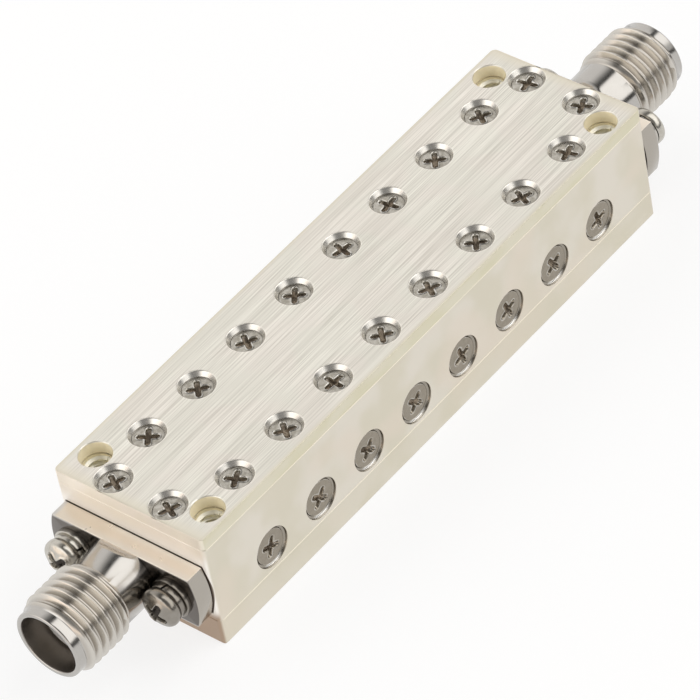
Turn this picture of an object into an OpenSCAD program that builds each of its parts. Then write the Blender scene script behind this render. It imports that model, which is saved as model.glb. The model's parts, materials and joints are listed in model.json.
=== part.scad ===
// Coaxial cavity band-pass filter with a threaded female connector at each end.
// +X runs along the filter towards the output, +Z is up, and the rods' roots are on the -Y side.
// The origin is the centre of the underside. Sizes are in millimetres.

/* [Housing] */
// Number of rods in the cavity
rod_count = 8; // [4:1:12]
// Distance between neighbouring rods, and between neighbouring screws of a row
pitch = 5.2; // [4.6:0.1:8]
// Distance from the last rod's axis to the end of the cavity
cavity_end = 2.3; // [1.9:0.1:4]
// Thickness of the end walls that carry the connectors
end_wall = 3.6; // [3.4:0.1:6]
// Thickness of the wall that carries the rods
rod_wall = 3.5; // [3.3:0.1:6]
// Width of the cavity
cavity_w = 4.9; // [4.2:0.1:9]
// Thickness of the wall that faces the rods' free ends
free_wall = 4.6; // [4.4:0.1:7]
// Height of the cavity
cavity_h = 6.7; // [6.4:0.1:9]
// Corner radius of the milled cavity
cavity_r = 1; // [0.5:0.1:1.2]
// Radius of the upright outer corners
corner_r = 0.4; // [0.2:0.05:0.8]
// Chamfer that breaks the lid's upper edge and the base's lower edge
edge_break = 0.08; // [0.05:0.01:0.3]
// Chamfer on each side of a seam
seam_break = 0.05; // [0.02:0.01:0.1]

/* [Lid and base] */
// Thickness of the lid
lid_t = 1; // [0.95:0.05:2]
// Thickness of the base plate
base_t = 2.2; // [1:0.1:4]

/* [Rods] */
// Diameter of a rod
rod_d = 2.2; // [2.1:0.1:3]
// Height of the rods' axes above the base plate
rod_rise = 1.85; // [1.5:0.05:2.2]
// Gap between a rod's free end and the wall that it faces
rod_gap = 1; // [0.3:0.1:1.6]

/* [Lid screws] */
// Diameter of a lid screw's head
lid_head_d = 2.3; // [2.1:0.05:2.5]
// Diameter of a lid screw's shank
lid_shank_d = 1.4; // [1.2:0.1:1.5]
// Length of a lid screw
lid_screw_l = 3; // [2.2:0.1:3.2]
// Diameter of the recess above a lid screw's head
lid_recess_d = 2.76; // [2.6:0.02:2.8]
// Depth of the recess down to a lid screw's head
lid_recess_t = 0.4; // [0.2:0.05:0.45]
// Distance of the screw row beside the rods' roots from the lid's edge
root_row_inset = 2.05; // [1.8:0.05:2.3]
// Distance of the screw row beside the rods' free ends from the lid's edge
free_row_inset = 3.3; // [2.2:0.05:3.4]
// Distance of the end pairs from the lid's ends
end_pair_inset = 1.48; // [1.45:0.01:1.9]
// Distance between the two screws of an end pair
end_pair_gap = 4.8; // [4.4:0.05:4.9]

/* [Rod screws] */
// Diameter of a rod screw's head
rod_head_d = 2.76; // [2.4:0.02:2.9]
// Diameter of a rod screw's shank
rod_shank_d = 1.6; // [1.2:0.1:1.8]
// Length of a rod screw
rod_screw_l = 4.5; // [3.8:0.1:5]
// Height of a rod screw's head above its cone
rod_land = 0.2; // [0.06:0.02:0.4]
// Diameter of the recess around a rod screw's head
rod_recess_d = 3.14; // [3:0.02:3.4]
// Depth of the recess down to a rod screw's head
rod_recess_t = 0.15; // [0.1:0.05:0.6]

/* [Mounting holes] */
// Distance of the mounting holes from the ends
hole_end_inset = 2.55; // [2.5:0.05:2.7]
// Distance of the mounting holes from the sides
hole_side_inset = 1.58; // [1.4:0.02:1.6]
// Diameter of the clear hole in the lid
hole_lid_d = 2.4; // [2.2:0.05:2.45]
// Diameter of the tapped hole in the housing
hole_tap_d = 2.1; // [1.6:0.05:2.15]
// Depth of the tapped hole below the lid
hole_tap_t = 2.7; // [1.8:0.1:2.8]

/* [Connectors] */
// Height of the connectors' axis above the base plate
axis_rise = 2.85; // [2.7:0.05:2.9]
// Width of metal left outside the flange's screw holes' axes
flange_rim = 2.03; // [1.8:0.01:2.2]
// Height of the flange across its two flats
flange_h = 4.4; // [4:0.1:5]
// Thickness of the flange
flange_t = 1.5; // [1.2:0.1:1.8]
// Diameter of the neck and of the plain nose
neck_d = 5.44; // [5.2:0.02:5.6]
// Diameter over the coupling thread
thread_d = 6.22; // [6.1:0.01:6.35]
// Distance from the housing to the first thread
thread_start = 4.15; // [4:0.05:5]
// Length of the coupling thread between its end chamfers
thread_l = 3.25; // [3:0.05:5]
// Length of the chamfer at each end of the thread
thread_run = 0.65; // [0.4:0.05:0.8]
// Length of the plain nose
nose_l = 0.65; // [0.4:0.05:1.2]
// Diameter of the mouth
mouth_d = 4.62; // [4.59:0.01:4.65]
// Depth of the mouth down to the dielectric
mouth_t = 1.93; // [1.88:0.01:1.98]
// Diameter of the dielectric
dielectric_d = 4.1; // [3.9:0.05:4.15]
// Diameter of the centre contact
contact_d = 1.27; // [1.2:0.01:1.3]
// Diameter of the centre contact's socket
socket_d = 0.94; // [0.9:0.01:0.96]
// Depth of the centre contact's socket
socket_t = 3; // [2.4:0.1:4]
// Width of the slots in the centre contact
slot_w = 0.2; // [0.1:0.05:0.3]
// Diameter of the probe that reaches into the cavity
probe_d = 0.9; // [0.7:0.05:1]
// Gap between the probe and the first rod
probe_gap = 0.1; // [0.05:0.05:0.5]

/* [Flange screws] */
// Gap between a washer and the connector's neck
washer_gap = 0.05; // [0.03:0.01:0.2]
// Diameter of a pan head
pan_d = 3; // [2.8:0.1:3.2]
// Height of a pan head
pan_h = 1.15; // [0.9:0.05:1.4]
// Diameter of a flange screw's shank
pan_shank_d = 1.6; // [1.4:0.1:1.7]
// Length of a flange screw under its head
pan_l = 5; // [3.6:0.1:5.2]
// Outer diameter of a flat washer
washer_d = 3.1; // [3:0.1:3.6]
// Thickness of a flat washer
washer_t = 0.4; // [0.2:0.05:0.5]
// Outer diameter of a lock washer
lock_d = 2.8; // [2.6:0.1:3.1]
// Thickness of a lock washer
lock_t = 0.5; // [0.3:0.05:0.6]
// Width of the split in a lock washer
lock_split = 0.3; // [0.1:0.05:0.5]

/* [Hidden] */
$fn = 48;
// Radial room around pins, shanks and the dielectric
fit = 0.02;
// Overshoot of a cutting solid past the face that it opens
past = 0.5;

rod_names = [for (i = [1 : rod_count]) str("resonator_rod_", i)];

cavity_l = (rod_count - 1) * pitch + 2 * cavity_end;
body_l = cavity_l + 2 * end_wall;
body_w = rod_wall + cavity_w + free_wall;
housing_top = base_t + cavity_h;
body_h = housing_top + lid_t;
rod_x = [for (i = [0 : rod_count - 1]) (i - (rod_count - 1) / 2) * pitch];
root_y = -body_w / 2 + rod_wall;
free_y = root_y + cavity_w;
rod_z = base_t + rod_rise;
axis_z = base_t + axis_rise;
rod_l = cavity_w - rod_gap;
root_row_y = -body_w / 2 + root_row_inset;
free_row_y = body_w / 2 - free_row_inset;
pair_x = body_l / 2 - end_pair_inset;
hole_x = body_l / 2 - hole_end_inset;
hole_y = body_w / 2 - hole_side_inset;
lid_head_z = body_h - lid_recess_t;
rod_head_y = -body_w / 2 + rod_recess_t;
// Depth of a cross recess and width of its arms, as shares of the head that carries it
cross_depth = 0.2;
cross_width = 0.16;
// Height of a lid screw's head above its cone
lid_land = 0.06;
// Lid left under the cone of a lid screw's head
cone_floor = 0.09;
lid_cone_t = lid_t - lid_recess_t - lid_land - cone_floor;
rod_cone_t = (rod_head_d - rod_shank_d) / 2;
// The end pairs stop short of the dielectric that passes below them
end_screw_room = 0.15;
end_screw_l = lid_head_z - axis_z - dielectric_d / 2 - end_screw_room;
// Chamfer at a screw's tip
tip = 0.2;
shell_l = thread_start + 2 * thread_run + thread_l + nose_l;
mouth_x = shell_l - mouth_t;
probe_step = end_wall - 1;
probe_drop = abs(axis_z - probe_d / 2 - rod_z);
probe_reach = sqrt(max(0, pow(rod_d / 2, 2) - pow(probe_drop, 2)));
probe_l = cavity_end + end_wall - probe_reach - probe_gap;
washer_stack = washer_t + lock_t;
flange_pitch = neck_d + max(washer_d, pan_d) + 2 * washer_gap;
flange_d = flange_pitch + 2 * flange_rim;

// Outline with round corners, centred on the origin
module round_rect(l, w, r) {
    square([l - 2 * r, w], center = true);
    square([l, w - 2 * r], center = true);
    for (x = [-1, 1], y = [-1, 1])
        translate([x * (l / 2 - r), y * (w / 2 - r)])
            circle(r);
}

// Side view of a plate with its lower and upper edges broken
module broken_profile(l, h, low, high) {
    polygon([
        [-l / 2 + low, 0], [l / 2 - low, 0], [l / 2, low], [l / 2, h - high],
        [l / 2 - high, h], [-l / 2 + high, h], [-l / 2, h - high], [-l / 2, low]
    ]);
}

// Plate of the body's outline with its long and short edges broken
module slab(h, low, high) {
    intersection() {
        linear_extrude(h)
            round_rect(body_l, body_w, corner_r);
        rotate([90, 0, 0])
            linear_extrude(2 * body_w, center = true)
                broken_profile(body_l, h, low, high);
        rotate([90, 0, 90])
            linear_extrude(2 * body_l, center = true)
                broken_profile(body_w, h, low, high);
    }
}

// Copies for the four mounting holes
module at_holes(z) {
    for (x = [-1, 1], y = [-1, 1])
        translate([x * hole_x, y * hole_y, z])
            children();
}

// Places of the three groups of lid screws
root_row = [for (x = rod_x) [x, root_row_y]];
free_row = [for (x = rod_x) [x, free_row_y]];
end_pairs = [for (x = [-1, 1], y = [-1, 1]) [x * pair_x, y * end_pair_gap / 2]];

// Cut for a countersunk screw whose head sits in a recess, from the head's plane at z = 0.
// The head rests on the cone, and the shank has room.
module screw_cut(head_d, land, cone, shank_d, recess_d, recess_t, depth) {
    translate([0, 0, -land])
        cylinder(d = recess_d, h = recess_t + land + past);
    translate([0, 0, -land - cone])
        cylinder(d1 = shank_d, d2 = head_d, h = cone);
    translate([0, 0, -depth])
        cylinder(d = shank_d + 2 * fit, h = depth);
}

// Cross-shaped recess, deepest in the middle
module cross_recess(head_d) {
    arm = 0.33 * head_d;
    foot = 0.14 * head_d;
    depth = cross_depth * head_d;
    for (turn = [0, 90])
        rotate([90, 0, turn])
            linear_extrude(cross_width * head_d, center = true)
                polygon([[-arm, past], [-arm, 0], [-foot, -depth], [foot, -depth], [arm, 0], [arm, past]]);
}

// Countersunk screw with its head's face at z = 0
module flat_screw(head_d, land, cone, shank_d, length, turn) {
    difference() {
        rotate_extrude()
            polygon([
                [0, 0], [head_d / 2, 0], [head_d / 2, -land], [shank_d / 2, -land - cone],
                [shank_d / 2, tip - length], [shank_d / 2 - tip, -length], [0, -length]
            ]);
        rotate(turn)
            cross_recess(head_d);
    }
}

// Pan-head screw with the underside of its head at z = 0
module pan_screw(turn) {
    rim = 0.45 * pan_h;
    rise = pan_h - rim;
    dome_r = (pow(pan_d / 2, 2) + pow(rise, 2)) / (2 * rise);
    difference() {
        union() {
            intersection() {
                cylinder(d = pan_d, h = pan_h);
                translate([0, 0, pan_h - dome_r])
                    sphere(dome_r, $fn = 96);
            }
            translate([0, 0, -pan_l])
                cylinder(d1 = pan_shank_d - 2 * tip, d2 = pan_shank_d, h = tip);
            translate([0, 0, tip - pan_l])
                cylinder(d = pan_shank_d, h = pan_l);
        }
        translate([0, 0, pan_h])
            rotate(turn)
                cross_recess(pan_d);
    }
}

// Ring with its lower face at z = 0
module ring(outer, inner, h) {
    difference() {
        cylinder(d = outer, h = h);
        translate([0, 0, -past])
            cylinder(d = inner, h = h + 2 * past);
    }
}

// Split ring with a slanted cut
module lock_washer(turn) {
    slant = 25;
    difference() {
        ring(lock_d, pan_shank_d + 4 * fit, lock_t);
        rotate(turn)
            translate([lock_d / 2, 0, lock_t / 2])
                rotate([slant, 0, 0])
                    cube([lock_d, lock_split, 4 * lock_t], center = true);
    }
}

module housing_body() {
    color([0.85, 0.82, 0.74])
        difference() {
            translate([0, 0, base_t])
                slab(cavity_h, seam_break, seam_break);
            translate([0, (root_y + free_y) / 2, base_t - past])
                linear_extrude(cavity_h + 2 * past)
                    round_rect(cavity_l, cavity_w, cavity_r);
            for (p = concat(root_row, free_row))
                translate([p[0], p[1], lid_head_z - lid_screw_l - tip])
                    cylinder(d = lid_shank_d + 2 * fit, h = lid_screw_l);
            for (p = end_pairs)
                translate([p[0], p[1], lid_head_z - end_screw_l - tip])
                    cylinder(d = lid_shank_d + 2 * fit, h = end_screw_l + tip);
            at_holes(housing_top - hole_tap_t)
                cylinder(d = hole_tap_d, h = hole_tap_t + past);
            for (x = rod_x)
                translate([x, rod_head_y, rod_z])
                    rotate([90, 0, 0])
                        screw_cut(rod_head_d, rod_land, rod_cone_t, rod_shank_d, rod_recess_d, rod_recess_t, rod_wall);
            for (side = [-1, 1])
                connector_place(side) {
                    translate([0, 0, -end_wall - cavity_end / 2])
                        cylinder(d = dielectric_d + 2 * fit, h = end_wall + cavity_end / 2 + past);
                    flange_places(washer_stack + flange_t - pan_l - tip)
                        cylinder(d = pan_shank_d + 2 * fit, h = pan_l);
                }
        }
}

module top_lid() {
    color([0.88, 0.86, 0.81])
        difference() {
            translate([0, 0, housing_top])
                slab(lid_t, seam_break, edge_break);
            for (p = concat(root_row, free_row, end_pairs))
                translate([p[0], p[1], lid_head_z])
                    screw_cut(lid_head_d, lid_land, lid_cone_t, lid_shank_d, lid_recess_d, lid_recess_t, lid_t + past);
            at_holes(housing_top - past)
                cylinder(d = hole_lid_d, h = lid_t + 2 * past);
        }
}

module base_plate() {
    color([0.83, 0.80, 0.72])
        slab(base_t, edge_break, seam_break);
}

// One group of lid screws, each turned as it happened to be tightened
module lid_screws(places, length, turn_step) {
    color([0.66, 0.65, 0.62])
        for (i = [0 : len(places) - 1])
            translate([places[i][0], places[i][1], lid_head_z])
                flat_screw(lid_head_d, lid_land, lid_cone_t, lid_shank_d, length, i * turn_step);
}

module rod_screws() {
    color([0.66, 0.65, 0.62])
        for (i = [0 : rod_count - 1])
            translate([rod_x[i], rod_head_y, rod_z])
                rotate([90, 0, 0])
                    flat_screw(rod_head_d, rod_land, rod_cone_t, rod_shank_d, rod_screw_l, i * 23);
}

// Rod that stands on the root wall, tapped at its root for its screw
module resonator_rod(i) {
    bore_l = rod_screw_l + rod_recess_t - rod_wall + tip;
    color([0.86, 0.83, 0.76])
        translate([rod_x[i], root_y, rod_z])
            rotate([-90, 0, 0])
                difference() {
                    cylinder(d = rod_d, h = rod_l);
                    translate([0, 0, -past])
                        cylinder(d = rod_shank_d + 2 * fit, h = bore_l + past);
                }
}

// Puts a connector that is built along +Z and seated on z = 0 on one end of the body
module connector_place(side) {
    translate([side * body_l / 2, 0, axis_z])
        rotate([0, side * 90, 0])
            children();
}

// Copies for the two flange screws, which lie level
module flange_places(z) {
    for (y = [-1, 1])
        translate([0, y * flange_pitch / 2, z])
            children();
}

// Turned shell: flange with two flats, neck, thread and nose, bored for mouth and dielectric
module connector_shell(side) {
    thread_low = thread_start + thread_run;
    thread_high = thread_low + thread_l;
    nose_start = thread_high + thread_run;
    mouth_break = 0.12;
    color([0.68, 0.66, 0.63])
        connector_place(side)
            difference() {
                union() {
                    intersection() {
                        cylinder(d = flange_d, h = flange_t);
                        translate([-flange_h / 2, -flange_d, 0])
                            cube([flange_h, 2 * flange_d, flange_t]);
                    }
                    rotate_extrude()
                        polygon([
                            [0, 0], [flange_h / 2, 0], [flange_h / 2, flange_t], [neck_d / 2, flange_t],
                            [neck_d / 2, thread_start], [thread_d / 2, thread_low], [thread_d / 2, thread_high],
                            [neck_d / 2, nose_start], [neck_d / 2, shell_l - mouth_break],
                            [neck_d / 2 - mouth_break, shell_l], [0, shell_l]
                        ]);
                }
                translate([0, 0, -past])
                    cylinder(d = dielectric_d + 2 * fit, h = shell_l);
                translate([0, 0, mouth_x])
                    cylinder(d = mouth_d, h = mouth_t + past);
                flange_places(-past)
                    cylinder(d = pan_shank_d + 4 * fit, h = flange_t + 2 * past);
            }
}

module dielectric(side) {
    color([0.95, 0.95, 0.93])
        connector_place(side)
            difference() {
                translate([0, 0, -end_wall])
                    cylinder(d = dielectric_d, h = end_wall + mouth_x);
                translate([0, 0, -probe_step])
                    cylinder(d = contact_d + 2 * fit, h = probe_step + shell_l);
                translate([0, 0, -end_wall - past])
                    cylinder(d = probe_d + 2 * fit, h = end_wall);
            }
}

// Centre contact: slotted socket in front, thin probe behind
module contact(side) {
    color([0.80, 0.66, 0.36])
        connector_place(side)
            difference() {
                union() {
                    translate([0, 0, -probe_step])
                        cylinder(d = contact_d, h = probe_step + mouth_x);
                    translate([0, 0, -probe_l])
                        cylinder(d = probe_d, h = probe_l);
                }
                translate([0, 0, mouth_x - socket_t])
                    cylinder(d = socket_d, h = socket_t + past);
                for (turn = [0, 90])
                    rotate(turn)
                        translate([-slot_w / 2, -contact_d, mouth_x - 0.8 * socket_t])
                            cube([slot_w, 2 * contact_d, socket_t]);
            }
}

module flange_screws(side) {
    color([0.70, 0.69, 0.66])
        connector_place(side)
            flange_places(flange_t + washer_stack)
                pan_screw(20);
}

module lock_washers(side) {
    color([0.64, 0.63, 0.60])
        connector_place(side)
            flange_places(flange_t + washer_t)
                lock_washer(120);
}

module flat_washers(side) {
    color([0.68, 0.67, 0.64])
        connector_place(side)
            flange_places(flange_t)
                ring(washer_d, pan_shank_d + 4 * fit, washer_t);
}

housing_body();
top_lid();
base_plate();
lid_screws(root_row, lid_screw_l, 37);  // lid_screws_root_row
lid_screws(free_row, lid_screw_l, 31);  // lid_screws_free_row
lid_screws(end_pairs, end_screw_l, 29);  // lid_screws_ends
rod_screws();
for (i = [0 : rod_count - 1])
    resonator_rod(i);
connector_shell(-1);  // input_connector_shell
dielectric(-1);  // input_dielectric
contact(-1);  // input_contact
flange_screws(-1);  // input_flange_screws
lock_washers(-1);  // input_lock_washers
flat_washers(-1);  // input_flat_washers
connector_shell(1);  // output_connector_shell
dielectric(1);  // output_dielectric
contact(1);  // output_contact
flange_screws(1);  // output_flange_screws
lock_washers(1);  // output_lock_washers
flat_washers(1);  // output_flat_washers
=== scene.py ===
import json
import math
from types import SimpleNamespace

import bmesh
import bpy
from mathutils import Matrix, Vector


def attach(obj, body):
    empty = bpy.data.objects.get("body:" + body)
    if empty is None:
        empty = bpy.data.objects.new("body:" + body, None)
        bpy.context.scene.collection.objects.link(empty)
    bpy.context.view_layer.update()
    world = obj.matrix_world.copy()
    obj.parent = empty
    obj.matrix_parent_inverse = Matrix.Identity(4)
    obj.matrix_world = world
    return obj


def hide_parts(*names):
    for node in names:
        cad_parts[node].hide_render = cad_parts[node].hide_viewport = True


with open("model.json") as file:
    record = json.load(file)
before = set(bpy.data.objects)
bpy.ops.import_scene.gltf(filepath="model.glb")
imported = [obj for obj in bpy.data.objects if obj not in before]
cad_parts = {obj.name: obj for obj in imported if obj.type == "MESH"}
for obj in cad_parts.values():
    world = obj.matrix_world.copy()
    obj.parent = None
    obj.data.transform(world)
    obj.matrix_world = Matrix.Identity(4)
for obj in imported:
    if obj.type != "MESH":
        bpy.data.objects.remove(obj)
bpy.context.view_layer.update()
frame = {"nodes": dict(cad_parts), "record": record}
MM = 0.001

# Camera, with its place in millimetres
RIGHT = Vector((0.61911, -0.77159, -0.14610))
DOWN = Vector((-0.60746, -0.35264, -0.71179))
AHEAD = Vector((0.49769, 0.52942, -0.68703))
CAMERA_AT = Vector((-177.684, -187.340, 248.101))
camera = bpy.data.objects.new("camera", bpy.data.cameras.new("camera"))
camera.data.lens = 266.298
camera.data.sensor_width = 36
camera.data.clip_start = 0.01
camera.data.clip_end = 20
turn = Matrix((RIGHT, -DOWN, -AHEAD)).transposed().to_4x4()
camera.matrix_world = Matrix.Translation(CAMERA_AT * MM) @ turn
bpy.context.scene.collection.objects.link(camera)
bpy.context.scene.camera = camera
bpy.context.scene.view_settings.view_transform = "Standard"


class Socket:
    """A shader value that Python operators turn into Math nodes."""

    def __init__(self, tree, output):
        self.tree = tree
        self.output = output

    def math(self, operation, *others):
        return self.tree.node("ShaderNodeMath", {"operation": operation}, [self, *others])

    def __add__(self, other):
        return self.math("ADD", other)

    __radd__ = __add__

    def __sub__(self, other):
        return self.math("SUBTRACT", other)

    def __rsub__(self, other):
        return self.tree.node("ShaderNodeMath", {"operation": "SUBTRACT"}, [other, self])

    def __mul__(self, other):
        return self.math("MULTIPLY", other)

    __rmul__ = __mul__

    def __abs__(self):
        return self.math("ABSOLUTE")

    def above(self, low, high):
        """0 below low, 1 above high, with a smooth step between."""
        inputs = [self, low, high, 0.0, 1.0]
        return self.tree.node("ShaderNodeMapRange", {"interpolation_type": "SMOOTHSTEP"}, inputs)

    def below(self, low, high):
        """1 below low, 0 above high, with a smooth step between."""
        return 1 - self.above(low, high)


class Tree:
    """The node tree of a material or world."""

    def __init__(self, owner):
        owner.use_nodes = True
        self.nodes = owner.node_tree.nodes
        self.links = owner.node_tree.links
        self.nodes.clear()

    def node(self, kind, settings=None, inputs=(), out=0):
        """A node with its settings, its inputs as a list or by place or name, and the output in use."""
        new = self.nodes.new(kind)
        for key, value in (settings or {}).items():
            setattr(new, key, value)
        pairs = inputs.items() if isinstance(inputs, dict) else enumerate(inputs)
        for key, value in pairs:
            if isinstance(value, Socket):
                self.links.new(value.output, new.inputs[key])
            else:
                new.inputs[key].default_value = value
        return Socket(self, new.outputs[out]) if new.outputs else None

    def mix(self, factor, first, second):
        """Blend of two colours."""
        inputs = {0: factor, 6: first, 7: second}
        return self.node("ShaderNodeMix", {"data_type": "RGBA"}, inputs, out=2)

    def place(self):
        """Object coordinates in millimetres."""
        here = self.node("ShaderNodeTexCoord", out="Object")
        return self.node("ShaderNodeVectorMath", {"operation": "SCALE"}, {0: here, "Scale": 1 / MM})

    def split(self, vector):
        first = self.node("ShaderNodeSeparateXYZ", None, [vector])
        return [Socket(self, output) for output in first.output.node.outputs]

    def stretched(self, vector, x, y, z):
        return self.node("ShaderNodeVectorMath", {"operation": "MULTIPLY"}, [vector, (x, y, z)])

    def noise(self, vector, scale, detail=2.0, rough=0.5):
        inputs = {"Vector": vector, "Scale": scale, "Detail": detail, "Roughness": rough}
        return self.node("ShaderNodeTexNoise", None, inputs)

    def attribute(self, name):
        return self.node("ShaderNodeAttribute", {"attribute_name": name}, out="Fac")

    def bump(self, height, strength, distance):
        inputs = {"Strength": strength, "Distance": distance, "Height": height}
        return self.node("ShaderNodeBump", None, inputs)


def shade(name, base, roughness, metallic=1.0, normal=None):
    """A principled material; each value may be a function of the tree."""
    material = bpy.data.materials.new(name)
    tree = Tree(material)
    wanted = {"Base Color": base, "Roughness": roughness, "Metallic": metallic}
    if normal:
        wanted["Normal"] = normal
    inputs = {key: value(tree) if callable(value) else value for key, value in wanted.items()}
    shader = tree.node("ShaderNodeBsdfPrincipled", None, inputs)
    tree.node("ShaderNodeOutputMaterial", None, [shader])
    return material


def rgb(red, green, blue):
    return (red, green, blue, 1.0)


# Surroundings, with the brightness of each part of the studio
WHITE = rgb(1, 1, 1)
DARK, KEY, FILL, LOW = 0.03, 1.73, 1.0, 0.61
CARD_DARK, CARD_BRIGHT, CARD_LOW = 0.12, 1.78, 0.8
FLOOR_HALF = 3
FLOOR_GREY, FLOOR_GLOW = 0.25, 0.78


def make_world():
    """A studio painted by direction, which the metal mirrors; the camera sees plain white."""
    world = bpy.data.worlds.new("studio")
    bpy.context.scene.world = world
    tree = Tree(world)
    x, y, z = tree.split(tree.node("ShaderNodeTexCoord", out="Generated"))
    # Angle round the filter's long axis in degrees, 0 level on the -Y side, 90 straight up
    angle = z.math("ARCTAN2", -1.0 * y) * math.degrees(1)
    key_box = angle.above(11, 17) * angle.below(85, 92)
    # The far low corner of the key box is dimmer, so that a low view from behind doesn't glare
    key_box = key_box * (1 - x.above(0.56, 0.64) * z.below(0.3, 0.5) * 0.6)
    fill_box = angle.above(94, 132)
    low_card = angle.below(-6, 1)
    level = DARK + key_box * KEY + fill_box * FILL + low_card * LOW
    # Warm card past the input end
    end_card = (-1.0 * x).above(0.45, 0.85)
    middle, foot = z.above(-0.1, 0.0) * z.below(0.55, 0.75), z.below(-0.45, -0.3)
    card_level = CARD_DARK + middle * CARD_BRIGHT + foot * CARD_LOW
    level = level * (1 - end_card) + end_card * card_level
    # Dark opening that the camera looks through
    opening = (x * -AHEAD.x + y * -AHEAD.y + z * -AHEAD.z).above(0.76, 0.90)
    level = level * (1 - opening * 0.85)
    tint = tree.mix(end_card * z.below(0.1, 0.3), rgb(1.0, 0.985, 0.965), rgb(1.0, 0.86, 0.75))
    studio = tree.node("ShaderNodeBackground", None, [tint, level])
    plain = tree.node("ShaderNodeBackground", None, [WHITE, 1.0])
    by_camera = tree.node("ShaderNodeLightPath")
    mixed = tree.node("ShaderNodeMixShader", None, [by_camera, studio, plain])
    tree.node("ShaderNodeOutputWorld", None, [mixed])


def make_floor():
    mesh = bpy.data.meshes.new("floor")
    corners = [(x * FLOOR_HALF, y * FLOOR_HALF, 0) for x, y in ((-1, -1), (1, -1), (1, 1), (-1, 1))]
    mesh.from_pydata(corners, [], [(0, 1, 2, 3)])
    floor = bpy.data.objects.new("floor", mesh)
    bpy.context.scene.collection.objects.link(floor)
    material = bpy.data.materials.new("floor")
    tree = Tree(material)
    matte = tree.node("ShaderNodeBsdfDiffuse", None, [rgb(FLOOR_GREY, FLOOR_GREY, FLOOR_GREY)])
    glow = tree.node("ShaderNodeEmission", None, [WHITE, FLOOR_GLOW])
    both = tree.node("ShaderNodeAddShader", None, [matte, glow])
    tree.node("ShaderNodeOutputMaterial", None, [both])
    mesh.materials.append(material)


make_world()
make_floor()

# Sizes shared with the solids, in millimetres
PITCH = 5.2
BODY_END = 24.1
AXIS_Z = 5.05
HALF_Y = 6.5
ROD_Z = 4.05
ROD_SUNK = 0.15
LID_TOP = 9.9
HEAD_Z = 9.5
SEAM_Z = 8.9
BASE_T = 2.2
HOLE_X = 21.55
HOLE_Y = 4.92
FREE_ROW_Y = 3.2
ROOT_ROW_Y = -4.45
END_X = 22.62
END_Y = 2.4
FLANGE_T = 1.5
FLANGE_R = 6.35
FLANGE_HALF = 2.2
SCREW_Y = 4.32
WASHER_T = 0.4
LOCK_T = 0.5


def along(turns, y, z):
    """Spots (x, y, z, turn in degrees) of a row of eight."""
    return [((i - 3.5) * PITCH, y, z, turn) for i, turn in enumerate(turns)]


free_spots = along((36, 47, 59, 38, 78, 7, 42, 58), FREE_ROW_Y, HEAD_Z)
root_spots = along((27, 55, 86, 49, 61, 42, 67, 16), ROOT_ROW_Y, HEAD_Z)
rod_spots = along((68, 51, 50, 48, 16, 20, 31, 13), ROD_SUNK - HALF_Y, ROD_Z)
end_spots = [
    (-END_X, -END_Y, HEAD_Z, 66), (-END_X, END_Y, HEAD_Z, 64),
    (END_X, -END_Y, HEAD_Z, 25), (END_X, END_Y, HEAD_Z, 10),
]


def made(name, bm, material, sharp=38):
    """A finished object from a mesh built in millimetres."""
    bmesh.ops.remove_doubles(bm, verts=bm.verts, dist=0.0008)
    bmesh.ops.recalc_face_normals(bm, faces=bm.faces)
    mesh = bpy.data.meshes.new(name)
    bm.to_mesh(mesh)
    bm.free()
    mesh.transform(Matrix.Scale(MM, 4))
    mesh.shade_smooth()
    mesh.set_sharp_from_angle(angle=math.radians(sharp))
    mesh.materials.append(material)
    piece = bpy.data.objects.new(name, mesh)
    bpy.context.scene.collection.objects.link(piece)
    return piece


def join(piece, slot, *nodes):
    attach(piece, "root")
    if nodes:
        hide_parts(*nodes)


def face(bm, *corners):
    """A face without the corners that fall together."""
    kept = list(dict.fromkeys(corners))
    if len(kept) > 2:
        bm.faces.new(kept)


def same(index):
    return index


def skin(bm, columns, partner=same):
    """Faces round a ring of columns; partner gives the match of a point across the last seam."""
    for j, here in enumerate(columns):
        there = columns[(j + 1) % len(columns)]
        match = partner if j == len(columns) - 1 else same
        for i in range(len(here) - 1):
            face(bm, here[i], here[i + 1], there[match(i + 1)], there[match(i)])


def turned(bm, profile, steps, place):
    """Revolve a closed profile of (radius, height) points round Z."""
    columns = []
    for j in range(steps):
        a = math.tau * j / steps
        columns.append([
            bm.verts.new(place @ Vector((r * math.cos(a), r * math.sin(a), z)))
            for r, z in profile + profile[:1]
        ])
    skin(bm, columns)


def rounded(points, radius, steps=3):
    """Replace the marked corners of a profile by short arcs; a corner is marked by a third value."""
    out = []
    for i, point in enumerate(points):
        if len(point) == 2:
            out.append(point)
            continue
        here = Vector(point[:2])
        before = (Vector(points[i - 1][:2]) - here).normalized()
        after = (Vector(points[(i + 1) % len(points)][:2]) - here).normalized()
        half = before.angle(after) / 2
        reach = radius / math.tan(half)
        start, end = here + before * reach, here + after * reach
        centre = here + (before + after).normalized() * (radius / math.sin(half))
        spoke = start - centre
        sweep = spoke.angle_signed(end - centre)
        for k in range(steps + 1):
            arm = spoke.copy()
            arm.rotate(Matrix.Rotation(-sweep * k / steps, 2))
            out.append(tuple(centre + arm))
    return out


# Connector shells, with heights from the face of the body
THREAD_PITCH = 0.7056
THREAD_LOW = 4.15
THREAD_HIGH = 8.7
THREAD_RUN = 0.65
NECK_R = 2.7
CREST_R = 3.11
BORE_R = 2.07
CORE_R = 2.15
MOUTH_R = 2.31
MOUTH_FLOOR = 7.42
NOSE_END = 9.35
NOSE_EDGE = 0.14
RUN_OUT = 1.0
FLANGE_EDGES = (0.1, 0.06)
SCREW_HOLE_R = 0.84
CORE_HOLE_R = 2.1
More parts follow.
